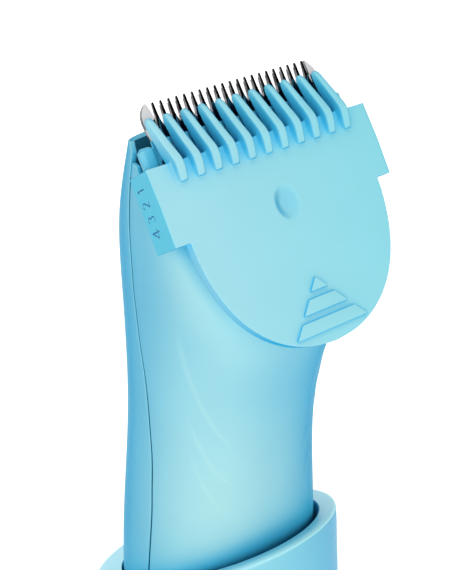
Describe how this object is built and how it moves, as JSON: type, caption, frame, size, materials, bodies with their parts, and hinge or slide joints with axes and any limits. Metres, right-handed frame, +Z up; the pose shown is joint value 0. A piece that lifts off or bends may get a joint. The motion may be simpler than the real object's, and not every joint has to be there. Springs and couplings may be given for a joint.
{
  "type": "body groomer with charging stand",
  "caption": "Cordless body groomer with a tilted cutting head and sliding comb guard, standing upright in a slant-rimmed charging cup.",
  "frame": {"origin": "centre of the charging stand's underside, on the table", "axes": "+Z up along the groomer's body, +X to the right seen from the comb side, -Y towards the comb guard, +Y towards the power button"},
  "size_m": [0.066, 0.066, 0.1624],
  "materials": {
    "casing_blue": "satin moulded plastic, light sky blue",
    "comb_blue": "satin moulded plastic, slightly greener sky blue",
    "stand_blue": "satin moulded plastic, light sky blue",
    "button_blue": "satin moulded plastic, slightly deeper blue",
    "blade_steel": "ground and polished stainless",
    "spring_steel": "spring temper",
    "screw_steel": "zinc plated",
    "motor_steel": "drawn and plated",
    "weight_steel": "plain",
    "magnet_black": "ferrite",
    "frame_grey": "glass filled, matt",
    "drive_white": "acetal",
    "cell_wrap": "shrink sleeve",
    "board_green": "solder mask",
    "contact_brass": "gold plated",
    "socket_metal": "plated",
    "seal_rubber": "silicone",
    "foot_rubber": "matt",
    "base_grey": "fine texture",
    "wire_cover": "wire insulation",
    "lens_clear": "light pipe"
  },
  "bodies": {
    "stand": {"stand_housing": "stand_blue", "stand_base": "base_grey", "stand_feet": "foot_rubber", "stand_weight": "weight_steel", "stand_screws": "screw_steel", "contact_board": "board_green", "socket_board": "board_green", "usb_socket": "socket_metal", "pin_barrel_left": "contact_brass", "pin_barrel_right": "contact_brass", "pin_spring_left": "spring_steel", "pin_spring_right": "spring_steel", "stand_wires": "wire_cover"},
    "groomer": {"front_shell": "casing_blue", "rear_shell": "casing_blue", "bottom_cap": "casing_blue", "bottom_seal": "seal_rubber", "charge_contacts": "contact_brass", "inner_chassis": "frame_grey", "chassis_screws": "screw_steel", "battery_cell": "cell_wrap", "battery_tabs": "contact_brass", "circuit_board": "board_green", "board_spacers": "frame_grey", "board_chips": "frame_grey", "tact_switch": "frame_grey", "status_lens": "lens_clear", "button_seal": "seal_rubber", "motor_can": "motor_steel", "motor_magnets": "magnet_black", "motor_endcap": "frame_grey", "drive_gasket": "seal_rubber", "battery_wires": "wire_cover", "motor_wires": "wire_cover", "charge_wires": "wire_cover"},
    "power_button": {"power_button": "button_blue"},
    "rotor": {"motor_shaft": "motor_steel", "motor_armature": "motor_steel", "eccentric_cam": "drive_white"},
    "drive": {"drive_yoke": "drive_white"},
    "blade_head": {"blade_carrier": "comb_blue", "fixed_blade": "blade_steel", "blade_springs": "spring_steel", "blade_screws": "screw_steel"},
    "cutter": {"moving_blade": "blade_steel"},
    "guard": {"comb_guard": "comb_blue"},
    "pin_left": {"contact_pin_left": "contact_brass"},
    "pin_right": {"contact_pin_right": "contact_brass"}
  },
  "joints": [
    {"name": "lift_out", "type": "slide", "parent": "stand", "child": "groomer", "axis": [0, 0, 1], "range_m": [0, 0.075]},
    {"name": "head_release", "type": "slide", "parent": "groomer", "child": "blade_head", "axis": [0, 0.6454, 0.7638], "range_m": [0, 0.012]},
    {"name": "guard_slide", "type": "slide", "parent": "groomer", "child": "guard", "axis": [0, 0.6454, 0.7638], "range_m": [0, 0.007]},
    {"name": "yoke_slide", "type": "slide", "parent": "groomer", "child": "drive", "axis": [1, 0, 0], "range_m": [-0.001, 0.001]},
    {"name": "cutter_slide", "type": "slide", "parent": "blade_head", "child": "cutter", "axis": [1, 0, 0], "range_m": [-0.001, 0.001]},
    {"name": "motor_spin", "type": "hinge", "parent": "groomer", "child": "rotor", "pos_m": [0, -0.002, 0.11], "axis": [0, 0, 1], "continuous": true},
    {"name": "power_press", "type": "slide", "parent": "groomer", "child": "power_button", "axis": [0, -1, 0], "range_m": [0, 0.0006]},
    {"name": "pin_press_left", "type": "slide", "parent": "stand", "child": "pin_left", "axis": [0, 0, -1], "range_m": [0, 0.0008], "deforming": ["pin_spring_left"]},
    {"name": "pin_press_right", "type": "slide", "parent": "stand", "child": "pin_right", "axis": [0, 0, -1], "range_m": [0, 0.0008], "deforming": ["pin_spring_right"]}
  ],
  "couplings": [
    {"joint": "cutter_slide", "follows": "yoke_slide", "ratio": 1}
  ]
}
